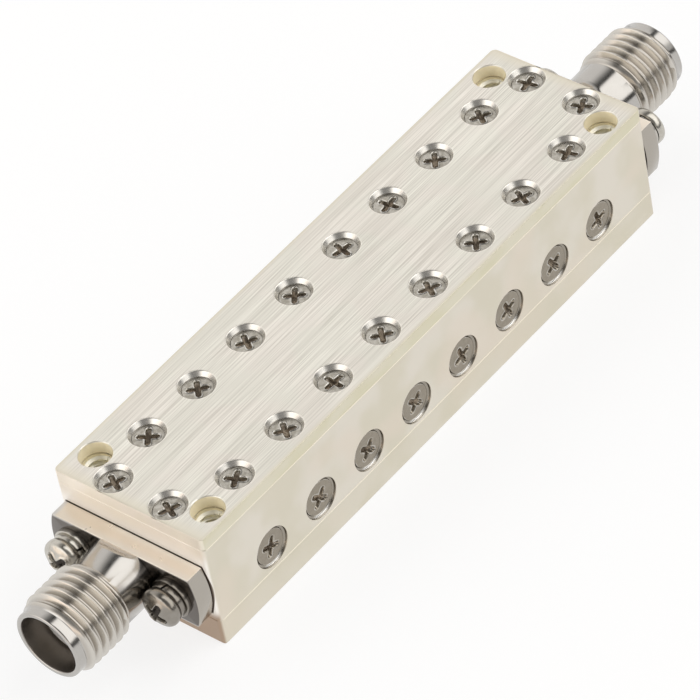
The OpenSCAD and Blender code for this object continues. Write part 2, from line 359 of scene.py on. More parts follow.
# One side of a V thread from crest to root, as (share of the pitch, share of the depth), and one turn
THREAD_SIDE = [
    (0.0, 1.0), (0.045, 1.0), (0.07, 0.96), (0.095, 0.88), (0.36, 0.10), (0.385, 0.03), (0.42, 0.0),
]
THREAD_SHAPE = THREAD_SIDE + [(1 - share, level) for share, level in reversed(THREAD_SIDE[1:])]


def threaded_column(angle):
    """Radii and heights of the coupling thread at one angle, with a chamfer at each end."""
    low, high = THREAD_LOW, THREAD_HIGH
    turns = math.ceil((high - low) / THREAD_PITCH) + 2
    points = []
    for t in range(turns):
        for share, level in THREAD_SHAPE:
            z = low - THREAD_PITCH + (t + share + angle / math.tau) * THREAD_PITCH
            z = min(max(z, low), high)
            reach = min(1.0, (z - low) / THREAD_RUN, (high - z) / THREAD_RUN)
            points.append((NECK_R + (CREST_R - NECK_R) * min(level, reach), z))
    return points


def shell_body(bm, place, steps=128):
    """Bore, neck, thread and nose; the flange's two flats run out along the start of the neck."""
    before = [(BORE_R, 0.0), (CORE_R, 0.0), (CORE_R, FLANGE_T)]
    before += [(NECK_R, FLANGE_T + RUN_OUT * k / 8) for k in range(9)]
    after = rounded([
        (NECK_R, THREAD_HIGH), (NECK_R, NOSE_END, 1), (MOUTH_R, NOSE_END, 1), (MOUTH_R, MOUTH_FLOOR),
        (BORE_R, MOUTH_FLOOR), (BORE_R, 0.0),
    ], NOSE_EDGE)
    columns = []
    for j in range(steps):
        a = math.tau * j / steps
        column = []
        for r, z in before + threaded_column(a) + after:
            rise = min(max(z - FLANGE_T, 0.0) / RUN_OUT, 1.0)
            half = FLANGE_HALF + (CREST_R - FLANGE_HALF) * rise ** 2
            x = min(max(r * math.cos(a), -half), half)
            column.append(bm.verts.new(place @ Vector((x, r * math.sin(a), z))))
        columns.append(column)
    first = len(before)
    last = len(columns[0]) - len(after) - 1
    per_turn = len(THREAD_SHAPE)
    skin(bm, columns, partner=lambda i: min(i + per_turn, last) if first <= i <= last else i)


def flange_outline(inset, steps=28):
    """Two arcs joined by the flats."""
    r = FLANGE_R - inset
    reach = math.asin((FLANGE_HALF - inset) / r)
    points = []
    for side in (0, math.pi):
        for k in range(steps + 1):
            a = side + math.pi / 2 - reach + 2 * reach * k / steps
            points.append((r * math.cos(a), r * math.sin(a)))
    return points


def body_outline(inset, corner=0.4, steps=8):
    """The body's rectangle with rounded corners."""
    r = corner - inset
    points = []
    for q, (sx, sy) in enumerate(((1, -1), (1, 1), (-1, 1), (-1, -1))):
        for k in range(steps + 1):
            a = (q - 1 + k / steps) * math.pi / 2
            x, y = sx * (BODY_END - corner), sy * (HALF_Y - corner)
            points.append((x + r * math.cos(a), y + r * math.sin(a)))
    return points


def soft(edge):
    """Insets and drops of a softened edge, from the face inwards to the side."""
    return [(edge * (1 - math.sin(t)), edge * (1 - math.cos(t))) for t in (0, math.pi / 4, math.pi / 2)]


def ring_edges(bm, ring):
    return [bm.edges.get(pair) or bm.edges.new(pair) for pair in zip(ring, ring[1:] + ring[:1])]


def band(bm, ring, following):
    for i in range(len(ring)):
        n = (i + 1) % len(ring)
        bm.faces.new((ring[i], ring[n], following[n], following[i]))


def plate(bm, outline, low, high, edges, holes, place=Matrix(), steps=40):
    """Plate with softened edges and through holes (x, y, radii and heights from top to bottom)."""
    levels = [(inset, low + drop) for inset, drop in soft(edges[0])]
    levels += [(inset, high - drop) for inset, drop in reversed(soft(edges[1]))]
    rings = [
        [bm.verts.new(place @ Vector((x, y, z))) for x, y in outline(inset)] for inset, z in levels
    ]
    for ring, above in zip(rings, rings[1:]):
        band(bm, ring, above)
    bottom, top = ring_edges(bm, rings[0]), ring_edges(bm, rings[-1])
    angles = [math.tau * k / steps for k in range(steps)]
    for x, y, profile in holes:
        walls = []
        for r, z in profile:
            points = [(x + r * math.cos(a), y + r * math.sin(a), z) for a in angles]
            walls.append([bm.verts.new(place @ Vector(point)) for point in points])
        for wall, below in zip(walls, walls[1:]):
            band(bm, wall, below)
        top += ring_edges(bm, walls[0])
        bottom += ring_edges(bm, walls[-1])
    for border in (bottom, top):
        bmesh.ops.triangle_fill(bm, use_beauty=True, edges=border)


def seat(side):
    """Place of a connector built along +Z on one end of the body."""
    quarter_turn = Matrix.Rotation(side * math.pi / 2, 4, "Y")
    return Matrix.Translation((side * BODY_END, 0, AXIS_Z)) @ quarter_turn


def make_shell(name, side):
    bm = bmesh.new()
    shell_body(bm, seat(side))
    openings = ((SCREW_Y, SCREW_HOLE_R), (-SCREW_Y, SCREW_HOLE_R), (0, CORE_HOLE_R))
    holes = [(0, y, [(r, FLANGE_T), (r, 0.0)]) for y, r in openings]
    plate(bm, flange_outline, 0.0, FLANGE_T, FLANGE_EDGES, holes, seat(side))
    return made(name, bm, steel, sharp=50)


# Lid. The walls of its holes are (radius, height); the first two rings keep the top's shading flat.
LID_EDGES = (0.05, 0.05)
SEAT_WALL = [
    (1.46, LID_TOP), (1.42, LID_TOP), (1.39, LID_TOP - 0.005), (1.365, LID_TOP - 0.016),
    (1.345, LID_TOP - 0.035), (1.325, LID_TOP - 0.065), (1.135, HEAD_Z + 0.05), (1.126, HEAD_Z),
    (1.124, HEAD_Z - 0.08), (0.72, SEAM_Z + 0.06), (0.72, SEAM_Z),
]
HOLE_WALL = [
    (1.28, LID_TOP), (1.24, LID_TOP), (1.22, LID_TOP - 0.008), (1.19, LID_TOP - 0.04),
    (1.175, LID_TOP - 0.08), (1.175, SEAM_Z),
]
# Closed section of the lining of a rod screw's recess, with heights from the side's face
ROD_SEAT = [
    (1.568, -0.01), (1.568, -0.34), (1.385, -0.34), (1.385, -0.26), (1.53, -0.22), (1.552, -0.19),
    (1.555, -0.03), (1.56, -0.01),
]


def make_lid():
    bm = bmesh.new()
    holes = [(x, y, SEAT_WALL) for x, y, _, _ in free_spots + root_spots + end_spots]
    holes += [(x, y, HOLE_WALL) for x in (-HOLE_X, HOLE_X) for y in (-HOLE_Y, HOLE_Y)]
    plate(bm, body_outline, SEAM_Z, LID_TOP, LID_EDGES, holes, steps=96)
    return made("lid", bm, silver_lid, sharp=20)


def make_rod_seats():
    """Smooth lining of the recesses in the side, down to the edge of each head."""
    bm = bmesh.new()
    for x, _, z, _ in rod_spots:
        place = Matrix.Translation((x, -HALF_Y, z)) @ Matrix.Rotation(math.pi / 2, 4, "X")
        turned(bm, ROD_SEAT, 120, place)
    return made("rod_seats", bm, silver_side, sharp=50)


# Cross-head screws: TILT is in degrees, and the sizes of a cross are shares of the face's radius. The
# stops are the lines of half a face's grid, closest together along the edges of the cross.
TILT = 0.8
LIP = 0.03
LIP_RISE, LIP_FALL = 0.03, 0.1
WALL_RUN = 0.07
ARM_RISE = 0.6
CONE_SLOPE, CONE_SHARE = 1.3, 0.8
HALF_STOPS = [
    0.0, 0.04, 0.08, 0.11, 0.133, 0.15, 0.164, 0.178, 0.192, 0.206, 0.22, 0.235, 0.255, 0.285,
    0.33, 0.38, 0.44, 0.5, 0.56, 0.61, 0.645, 0.67, 0.69, 0.71, 0.73, 0.75, 0.77, 0.81, 0.86,
    0.91, 0.96, 1.0,
]


def smooth(value):
    value = min(max(value, 0.0), 1.0)
    return value * value * (3 - 2 * value)


def disc_point(a, b):
    """Point of the unit disc for a point of the square; lines near the two axes stay straight."""
    if a == 0 and b == 0:
        return 0.0, 0.0
    if abs(a) > abs(b):
        reach, turn = a, math.pi / 4 * b / a
    else:
        reach, turn = b, math.pi / 2 - math.pi / 4 * a / b
    return reach * math.cos(turn), reach * math.sin(turn)


def cross_depth(x, y, reach, width, depth):
    """Depth of a cross recess at a point of the unit disc, below zero on its raised lip.

    It has four arms with steep walls and rounded ends, and a cone in the middle.
    """
    deepest = 0.0
    away = 1.0
    edge = width + 0.03
    for lengthways, across in ((abs(x), abs(y)), (abs(y), abs(x))):
        beyond = math.hypot(max(lengthways - (reach - width), 0.0), across)
        floor = depth * (1 - ARM_RISE * lengthways / reach)
        deepest = max(deepest, floor * smooth((edge - beyond) / WALL_RUN))
        away = min(away, beyond - edge)
    cone = (0.47 * reach + 0.08 - abs(x) - abs(y)) * CONE_SLOPE
    lip = LIP * smooth(away / LIP_RISE) * (1 - smooth((away - LIP_RISE) / LIP_FALL))
    return max(deepest, min(max(cone, 0.0), CONE_SHARE * depth)) - lip


def screw_template(name, face_r, height_at, rings, reach, width, depth):
    """One cross-head screw along +Z; height_at(r) is its face, and the rings go on from its rim."""
    bm = bmesh.new()
    sunk = bm.verts.layers.float.new("sunk")
    # Where a painted highlight goes: the lips round the cross and the rings from the rim
    glint = bm.verts.layers.float.new("glint")
    stops = [-s for s in reversed(HALF_STOPS[1:])] + HALF_STOPS
    grid = []
    for b in stops:
        row = []
        for a in stops:
            x, y = disc_point(a, b)
            drop = cross_depth(x, y, reach, width, depth)
            z = height_at(math.hypot(x, y) * face_r) - drop * face_r
            corner = bm.verts.new((x * face_r, y * face_r, z))
            corner[sunk] = max(drop, 0.0) / depth
            corner[glint] = max(-drop, 0.0) / LIP
            row.append(corner)
        grid.append(row)
    last = len(stops) - 1
    for j in range(last):
        for i in range(last):
            bm.faces.new((grid[j][i], grid[j][i + 1], grid[j + 1][i + 1], grid[j + 1][i]))
    rim = [grid[0][i] for i in range(last)] + [grid[j][last] for j in range(last)]
    rim += [grid[last][i] for i in range(last, 0, -1)] + [grid[j][0] for j in range(last, 0, -1)]
    directions = [corner.co.xy.normalized() for corner in rim]
    for r, z in rings:
        ring = [bm.verts.new((d.x * r, d.y * r, z)) for d in directions]
        for i, corner in enumerate(ring):
            corner[glint] = 1.0
            n = (i + 1) % len(ring)
            bm.faces.new((rim[i], rim[n], ring[n], corner))
        rim = ring
    bm.faces.new(rim)
    return made(name, bm, screw_steel, sharp=40)


def flat_head(name, head_d, land, cone, shank_d, length):
    """Countersunk screw with its head's face at z = 0; its cross has one size on every head."""
    r, shank = head_d / 2, shank_d / 2
    face_r = r - 0.07
    rings = [(r - 0.035, -0.012), (r - 0.01, -0.03), (r, -0.055), (r, -land), (shank, -land - cone)]
    rings += [(shank, 0.2 - length), (shank - 0.2, -length)]
    share = 1.05 / face_r
    cross = (0.74 * share, 0.155 * share, 0.42 * share)
    return screw_template(name, face_r, lambda at: -0.006 * (at / r) ** 4, rings, *cross)


def pan_head(name):
    """Pan-head screw with its underside at z = 0."""
    face_r, dome_r, top = 1.38, 2.33, 1.15
    rings = [(1.45, 0.6), (1.49, 0.5), (1.5, 0.38), (1.49, 0.2), (1.45, 0.08), (1.38, 0.0)]
    rings += [(0.8, 0.0), (0.8, -4.8), (0.6, -5.0)]

    def dome(at):
        return top - dome_r + math.sqrt(dome_r ** 2 - at * at)

    return screw_template(name, face_r, dome, rings, 0.66, 0.16, 0.42)


def screw_tree():
    """Geometry nodes that put one screw on every spot, each turned as it was left."""
    tree = bpy.data.node_groups.new("screws in place", "GeometryNodeTree")
    wanted = (
        ("Geometry", "Geometry"), ("Screw", "Object"), ("Facing", "Vector"), ("Tilt", "Float"),
        ("Seed", "Int"), ("Finish", "Material"),
    )
    for name, kind in wanted:
        tree.interface.new_socket(name, in_out="INPUT", socket_type="NodeSocket" + kind)
    tree.interface.new_socket("Geometry", in_out="OUTPUT", socket_type="NodeSocketGeometry")
    start = tree.nodes.new("NodeGroupInput")
    end = tree.nodes.new("NodeGroupOutput")
    screw = tree.nodes.new("GeometryNodeObjectInfo")
    put = tree.nodes.new("GeometryNodeInstanceOnPoints")
    turn = tree.nodes.new("GeometryNodeInputNamedAttribute")
    turn.data_type = "FLOAT"
    turn.inputs["Name"].default_value = "turn"
    lean = tree.nodes.new("FunctionNodeRandomValue")
    lean.data_type = "FLOAT_VECTOR"
    lean.inputs["Min"].default_value = (-1, -1, 0)
    lean.inputs["Max"].default_value = (1, 1, 0)
    scaled = tree.nodes.new("ShaderNodeVectorMath")
    scaled.operation = "SCALE"
    about = tree.nodes.new("ShaderNodeCombineXYZ")
    both = tree.nodes.new("ShaderNodeVectorMath")
    rotate = tree.nodes.new("GeometryNodeRotateInstances")
    real = tree.nodes.new("GeometryNodeRealizeInstances")
    finish = tree.nodes.new("GeometryNodeSetMaterial")
    links = (
        (start, "Screw", screw, "Object"), (start, "Geometry", put, "Points"),
        (screw, "Geometry", put, "Instance"), (start, "Facing", put, "Rotation"),
        (start, "Seed", lean, "Seed"), (lean, "Value", scaled, "Vector"),
        (start, "Tilt", scaled, "Scale"), (turn, "Attribute", about, "Z"),
        (scaled, "Vector", both, 0), (about, "Vector", both, 1),
        (put, "Instances", rotate, "Instances"), (both, "Vector", rotate, "Rotation"),
        (rotate, "Instances", real, "Geometry"), (real, "Geometry", finish, "Geometry"),
        (start, "Finish", finish, "Material"), (finish, "Geometry", end, "Geometry"),
    )
    for source, output, target, place in links:
        tree.links.new(source.outputs[output], target.inputs[place])
    return tree


def screw_row(name, template, spots, seed, facing=(0, 0, 0)):
    """One piece with a screw at each spot, tilted by up to TILT degrees as its seed says."""
    mesh = bpy.data.meshes.new(name)
    mesh.from_pydata([Vector(spot[:3]) * MM for spot in spots], [], [])
    turns = mesh.attributes.new("turn", "FLOAT", "POINT")
    turns.data.foreach_set("value", [math.radians(spot[3]) for spot in spots])
    piece = bpy.data.objects.new(name, mesh)
    bpy.context.scene.collection.objects.link(piece)
    modifier = piece.modifiers.new("screws", "NODES")
    modifier.node_group = screws_in_place
    values = {
        "Screw": template, "Facing": facing, "Tilt": math.radians(TILT), "Seed": seed,
        "Finish": template.data.materials[0],
    }
    for item in screws_in_place.interface.items_tree:
        if item.name in values:
            modifier[item.identifier] = values[item.name]
    bpy.context.view_layer.update()
    evaluated = piece.evaluated_get(bpy.context.evaluated_depsgraph_get())
    solid = bpy.data.meshes.new_from_object(evaluated)
    piece.modifiers.clear()
    piece.data = solid
    solid.name = name
    return piece


# Washers
WASHER_R, WASHER_BORE = 1.55, 0.85
LOCK_R, LOCK_BORE = 1.4, 0.86


def washer(bm, place, outer, inner, height, edge=0.05):
    profile = rounded([(inner, 0.0), (outer, 0.0, 1), (outer, height, 1), (inner, height)], edge)
    turned(bm, profile, 72, place)


def split_washer(bm, place, outer, inner, height, split_at, edge=0.07, steps=80):
    """Spring washer: one turn of a square bar whose slanted ends almost meet."""
    opening, slant, rise = 0.12, 0.35, 0.05
    section = rounded([(inner, 0.0), (outer, 0.0, 1), (outer, height, 1), (inner, height, 1)], edge)
    rings = []
    for k in range(steps + 1):
        share = k / steps
        ring = []
        for r, z in section:
            a = split_at + opening / 2 + (math.tau - opening) * share
            a += (z - height / 2) * slant / outer
            lift = z + rise * (share - 0.5)
            ring.append(bm.verts.new(place @ Vector((r * math.cos(a), r * math.sin(a), lift))))
        rings.append(ring)
    for here, there in zip(rings, rings[1:]):
        band(bm, here, there)
    bm.faces.new(rings[0])
    bm.faces.new(rings[-1])


def make_washers(name, side):
    bm = bmesh.new()
    for y in (-SCREW_Y, SCREW_Y):
        place = seat(side) @ Matrix.Translation((0, y, FLANGE_T))
        washer(bm, place, WASHER_R, WASHER_BORE, WASHER_T - 0.01)
    return made(name, bm, screw_steel)


def make_split_washers(name, side):
    bm = bmesh.new()
    for y in (-SCREW_Y, SCREW_Y):
        place = seat(side) @ Matrix.Translation((0, y, FLANGE_T + WASHER_T))
        split_at = math.radians(0 if y < 0 else -52)
        # A seat's X points up at the input and down at the output, so there the split is half a turn on
        half_turn = math.pi if side > 0 else 0
        split_washer(bm, place, LOCK_R, LOCK_BORE, LOCK_T - 0.04, split_at + half_turn)
    return made(name, bm, screw_steel, sharp=50)


# Threads in the four mounting holes
TAP_LOW, TAP_HIGH, TAP_PITCH = 6.25, 8.86, 0.45
TAP_INNER, TAP_OUTER, TAP_BACK = 0.83, 1.06, 1.08
TAP_SHAPE = ((0.0, TAP_INNER), (0.2, TAP_INNER), (0.53, TAP_OUTER), (0.67, TAP_OUTER))


def tapped_column(angle):
    """Radii and heights of a hole's thread at one angle, cut away at both ends."""
    points = [(TAP_BACK, TAP_LOW)]
    for t in range(int((TAP_HIGH - TAP_LOW) / TAP_PITCH) + 3):
        for share, r in TAP_SHAPE:
            z = TAP_LOW + (t - 1 + share - angle / math.tau) * TAP_PITCH
            at_end = z > TAP_HIGH - 0.15 or z < TAP_LOW + 0.1
            points.append((TAP_OUTER if at_end else r, min(max(z, TAP_LOW), TAP_HIGH)))
    return points + [(TAP_BACK, TAP_HIGH)]


def make_hole_threads(name, steps=48):
    bm = bmesh.new()
    for x in (-HOLE_X, HOLE_X):
        for y in (-HOLE_Y, HOLE_Y):
            columns = []
            for j in range(steps):
                a = math.tau * j / steps
                column = [
                    bm.verts.new((x + r * math.cos(a), y + r * math.sin(a), z))
                    for r, z in tapped_column(a)
                ]
                columns.append(column + column[:1])
            per_turn = len(TAP_SHAPE)
            last = len(columns[0]) - 3
            skin(bm, columns, partner=lambda i: min(i + per_turn, last) if 0 < i <= last else i)
    return made(name, bm, hole_metal, sharp=50)


# Finishes, in millimetres: a mask's edge runs between the two values given to above or below
def where(tree):
    """Position: signed_x, signed_y and z, and x and y as distances from the middle planes."""
    here = tree.place()
    x, y, z = tree.split(here)
    return SimpleNamespace(here=here, signed_x=x, signed_y=y, x=abs(x), y=abs(y), z=z)


def distance(first, second):
    return (first * first + second * second).math("SQRT")


def end_face(x):
    return x.above(BODY_END - 0.24, BODY_END - 0.05)


def near_corner(y):
    return y.above(HALF_Y - 1.9, HALF_Y - 0.3)


def lid_zones(tree):
    """Masks of the lid: its sides, what lies below its top, and the corner holes."""
    at = where(tree)
    at.sides = 1 - at.x.below(BODY_END - 0.08, BODY_END - 0.04) * at.y.below(HALF_Y - 0.08, HALF_Y - 0.04)
    corner = at.x.above(BODY_END - 0.7, BODY_END - 0.6) * at.y.above(HALF_Y - 0.7, HALF_Y - 0.6)
    at.sunk = at.z.below(LID_TOP - 0.04, LID_TOP - 0.01) * (1 - at.sides) * (1 - corner)
    at.near_hole = distance(at.x - HOLE_X, at.y - HOLE_Y).below(1.33, 1.34)
    return at


def lid_streaks(tree, at):
    """Brush marks along the lid, fainter towards its worn edges."""
    fine = tree.noise(tree.stretched(at.here, 0.09, 8.0, 0.0), 1.0, 3.0, 0.65)
    broad = tree.noise(tree.stretched(at.here, 0.05, 1.2, 0.0), 1.0, 1.0)
    patches = tree.noise(at.here, 0.22, 1.0).above(0.38, 0.62)
    worn = 1 - at.x.below(BODY_END - 1.5, BODY_END - 0.1) * at.y.below(HALF_Y - 1.5, HALF_Y - 0.1)
    marks = (fine - 0.5) * (0.9 + patches * 0.8) + (broad - 0.5) * 0.25
    return marks * (1 - worn * 0.55) + 0.5


def lid_colour(tree):
    at = lid_zones(tree)
    streaks = lid_streaks(tree, at).above(0.25, 0.75)
    warm = tree.mix(streaks, rgb(0.995, 0.95, 0.875), rgb(0.74, 0.70, 0.63))
    cool = tree.mix(streaks, rgb(0.985, 0.96, 0.875), rgb(0.73, 0.705, 0.63))
    top = tree.mix(tree.noise(at.here, 0.3, 1.0).above(0.4, 0.6), warm, cool)
    near_end = at.x.above(BODY_END - 1.2, BODY_END - 0.2)
    top = tree.mix(near_end * 0.6, top, rgb(0.86, 0.80, 0.66))
    # Painted shade along the top's edges, which dims the highlight on the softened edge
    rim = 1 - at.x.below(BODY_END - 0.4, BODY_END) * at.y.below(HALF_Y - 0.4, HALF_Y)
    top = tree.mix(rim * 0.75, top, rgb(0.79, 0.73, 0.60))
    clouds = tree.noise(tree.stretched(at.here, 0.5, 1.0, 1.0), 0.6, 1.0).above(0.35, 0.65)
    long_side = tree.mix(clouds, rgb(0.73, 0.69, 0.56), rgb(0.70, 0.66, 0.50))
    # The end faces are painted lighter and warmer than the long sides, as painted light of the warm card
    # past the ends, darker towards the corners
    end = tree.mix(clouds, rgb(0.95, 0.865, 0.755), rgb(0.93, 0.85, 0.72))
    end = tree.mix(near_corner(at.y), end, rgb(0.83, 0.755, 0.64))
    base = tree.mix(at.sides, top, tree.mix(end_face(at.x), long_side, end))
    wall = tree.mix(tree.noise(at.here, 2.0, 1.0), rgb(0.73, 0.71, 0.665), rgb(0.63, 0.61, 0.57))
    # Below the heads' faces the seat walls are painted darker, as painted shade in the narrow gap round
    # each head
    wall = tree.mix(at.z.above(HEAD_Z - 0.04, HEAD_Z + 0.03), rgb(0.50, 0.48, 0.46), wall)
    base = tree.mix(at.sunk, base, wall)
    base = tree.mix(at.near_hole * at.sunk, base, rgb(1.0, 0.92, 0.70))
    hole_edge = at.near_hole * at.z.above(LID_TOP - 0.09, LID_TOP - 0.07) * at.sunk
    return tree.mix(hole_edge, base, rgb(0.86, 0.85, 0.82))


def lid_roughness(tree):
    at = lid_zones(tree)
    top = (0.30 + lid_streaks(tree, at) * 0.12) * (1 - at.sunk) * (1 - at.sides)
    return top + at.sides * 0.42 + at.sunk * (0.26 + at.near_hole * 0.04)


def lid_metallic(tree):
    at = lid_zones(tree)
    hole_wall = at.near_hole * at.sunk * at.z.below(LID_TOP - 0.09, LID_TOP - 0.07)
    return 1 - at.sides * at.x.above(BODY_END - 0.1, BODY_END - 0.04) * 0.7 - hole_wall


def lid_grain(tree):
    lines = tree.noise(tree.stretched(tree.place(), 0.12, 9.0, 0.0), 1.0, 3.0, 0.65)
    return tree.bump(lines, 0.6, 6e-6)


def side_zones(tree):
    """Masks of the body: its ends, the rod recesses and the tapped holes."""
    at = where(tree)
    at.ends = end_face(at.x)
    over_base = at.z.above(BASE_T + 0.08, BASE_T + 0.14)
    past_rods = at.x.above(HOLE_X - 1.15, HOLE_X - 1.05)
    at.recess = at.y.below(HALF_Y - 0.08, HALF_Y - 0.02) * (1 - past_rods) * over_base
    at.tapped = past_rods * at.x.below(HOLE_X + 1.15, HOLE_X + 1.25) * over_base
    at.tapped = at.tapped * at.y.below(HALF_Y - 0.5, HALF_Y - 0.4) * at.z.below(SEAM_Z - 0.04, SEAM_Z)
    return at


def side_colour(tree):
    at = side_zones(tree)
    clouds = tree.noise(at.here, 0.28, 2.0, 0.45).above(0.36, 0.64)
    side = tree.mix(clouds, rgb(0.75, 0.705, 0.62), rgb(0.695, 0.65, 0.54))
    patches = tree.noise(at.here, 0.17, 1.0).above(0.5, 0.66)
    side = tree.mix(patches * 0.6, side, rgb(0.76, 0.68, 0.58))
    side = tree.mix(at.z.below(BASE_T - 0.02, BASE_T) * 0.4, side, rgb(0.68, 0.635, 0.51))
    # The end faces are painted lighter and warmer than the long sides, as painted light of the warm card
    # past the ends; darker towards the corners and lighter below the flange's top
    end = tree.mix(clouds, rgb(0.95, 0.87, 0.77), rgb(0.94, 0.865, 0.745))
    end = tree.mix(near_corner(at.y), end, rgb(0.83, 0.755, 0.65))
    end = tree.mix(at.z.below(7.4, 8.6), end, rgb(1.0, 0.96, 0.90))
    # Painted shadow at the foot of the end faces, under the flange
    end = tree.mix(at.z.below(2.3, 3.2), end, rgb(0.39, 0.285, 0.205))
    # Painted shade on the end face round and under the flange's outline, where the flange meets the body
    up = at.z - AXIS_Z
    under_flange = abs(up).below(FLANGE_HALF + 0.04, FLANGE_HALF + 0.07)
    under_flange = under_flange * distance(at.y, up).below(FLANGE_R + 0.04, FLANGE_R + 0.07)
    end = tree.mix(under_flange, end, rgb(0.10, 0.07, 0.05))
    base = tree.mix(at.ends, side, end)
    # The seam edges are painted darker on the sides, a painted shade that dims their highlight
    seams = 1 - abs(at.z - BASE_T).above(0.05, 0.07) * abs(at.z - SEAM_Z).above(0.05, 0.07)
    base = tree.mix(seams * (1 - at.ends) * 0.8, base, rgb(0.63, 0.585, 0.485))
    # The rod recesses are painted dark as shade, with painted light on their lowest part
    recess = tree.mix(at.z.above(2.6, 2.85), rgb(0.86, 0.84, 0.80), rgb(0.33, 0.30, 0.255))
    base = tree.mix(at.recess, base, recess)
    return tree.mix(at.tapped, base, rgb(0.98, 0.90, 0.68))


def side_roughness(tree):
    return 0.40 - side_zones(tree).recess * 0.14


def side_metallic(tree):
    at = side_zones(tree)
    return 1 - at.x.above(BODY_END - 0.1, BODY_END - 0.04) * 0.7 - at.tapped


def side_grain(tree):
    grain = tree.noise(tree.stretched(tree.place(), 1.0, 1.0, 3.0), 5.0, 3.0, 0.6)
    return tree.bump(grain, 0.5, 6e-6)


def steel_zones(tree):
    """Masks of a connector: mouth, thread, the flange's flats and rounds, painted shade on its front face
    and on its back edge.
    """
    at = where(tree)
    out = at.x - BODY_END
    up = at.z - AXIS_Z
    at.radius = distance(at.y, up)
    at.mouth = at.radius.below(MOUTH_R + 0.02, MOUTH_R + 0.05)
    at.mouth = at.mouth * out.above(MOUTH_FLOOR - 0.07, MOUTH_FLOOR - 0.02)
    at.flat = abs(abs(up) - FLANGE_HALF).below(0.01, 0.03)
    at.flat = at.flat * out.below(FLANGE_T - 0.03, FLANGE_T + 0.12)
    at.round_end = at.radius.above(FLANGE_R - 0.15, FLANGE_R - 0.05) * (1 - at.flat)
    at.round_end = at.round_end * out.below(FLANGE_T - 0.05, FLANGE_T - 0.02)
    near_face = out.above(FLANGE_T - 0.1, FLANGE_T - 0.02) * out.below(FLANGE_T + 0.02, FLANGE_T + 0.06)
    # Middle of the flange's front face, painted dark as the shade among the neck and the screws
    at.stain = near_face * abs(up).below(FLANGE_HALF - 0.2, FLANGE_HALF - 0.05)
    # Back edge of the flange, painted with the shadow of its joint to the body
    at.back = out.below(0.06, 0.09)
    at.thread = out.above(THREAD_LOW - 0.05, THREAD_LOW + 0.15) * (1 - at.mouth)
    at.thread = at.thread * out.below(THREAD_HIGH - 0.2, THREAD_HIGH - 0.1)
    return at


def steel_colour(tree):
    at = steel_zones(tree)
    base = tree.mix(tree.noise(at.here, 0.8, 2.0), rgb(0.51, 0.49, 0.465), rgb(0.45, 0.435, 0.41))
    base = tree.mix(at.thread, base, rgb(0.61, 0.58, 0.53))
    base = tree.mix(at.thread * at.radius.below(2.74, 3.0) * 0.4, base, rgb(0.33, 0.295, 0.26))
    # Painted shade on the middle of the flange's front face
    base = tree.mix(at.stain * 0.85, base, rgb(0.10, 0.085, 0.075))
    base = tree.mix(at.round_end, base, rgb(0.42, 0.39, 0.345))
    # The flats are painted with the reflection of the body's peach end face: lighter at the back edge,
    # darker towards +Y, grey at the +Y end
    off_back = at.x.above(BODY_END + 0.15, BODY_END + 0.6)
    level = tree.mix(off_back, rgb(0.95, 0.885, 0.79), rgb(0.90, 0.81, 0.70))
    level = tree.mix(at.signed_y.above(0.5, 2.5), level, rgb(0.84, 0.75, 0.63))
    level = tree.mix(at.signed_y.above(5.5, 5.9), level, rgb(0.70, 0.68, 0.65))
    base = tree.mix(at.flat, base, level)
    # Painted shadow along the joint of the flange and the body
    base = tree.mix(at.back, base, rgb(0.03, 0.022, 0.017))
    # The mouth's wall is painted dark, a painted shade inside the bore
    return tree.mix(at.mouth, base, rgb(0.26, 0.235, 0.21))


def steel_roughness(tree):
    at = steel_zones(tree)
    turned_metal = 0.13 + tree.noise(at.here, 1.5, 2.0) * 0.08
    return turned_metal + at.mouth * 0.2 + at.flat * 0.12 + at.back * 0.3 + at.thread * 0.08


def steel_metallic(tree):
    return 1 - steel_zones(tree).flat * 0.4


def steel_grain(tree):
    marks = tree.noise(tree.stretched(tree.place(), 14.0, 0.6, 0.6), 1.0, 2.0)
    return tree.bump(marks, 0.4, 2e-6)


def cross_darkening(tree):
    """How far down a cross recess the metal is painted darker."""
    return tree.attribute("sunk").above(0.25, 0.62)


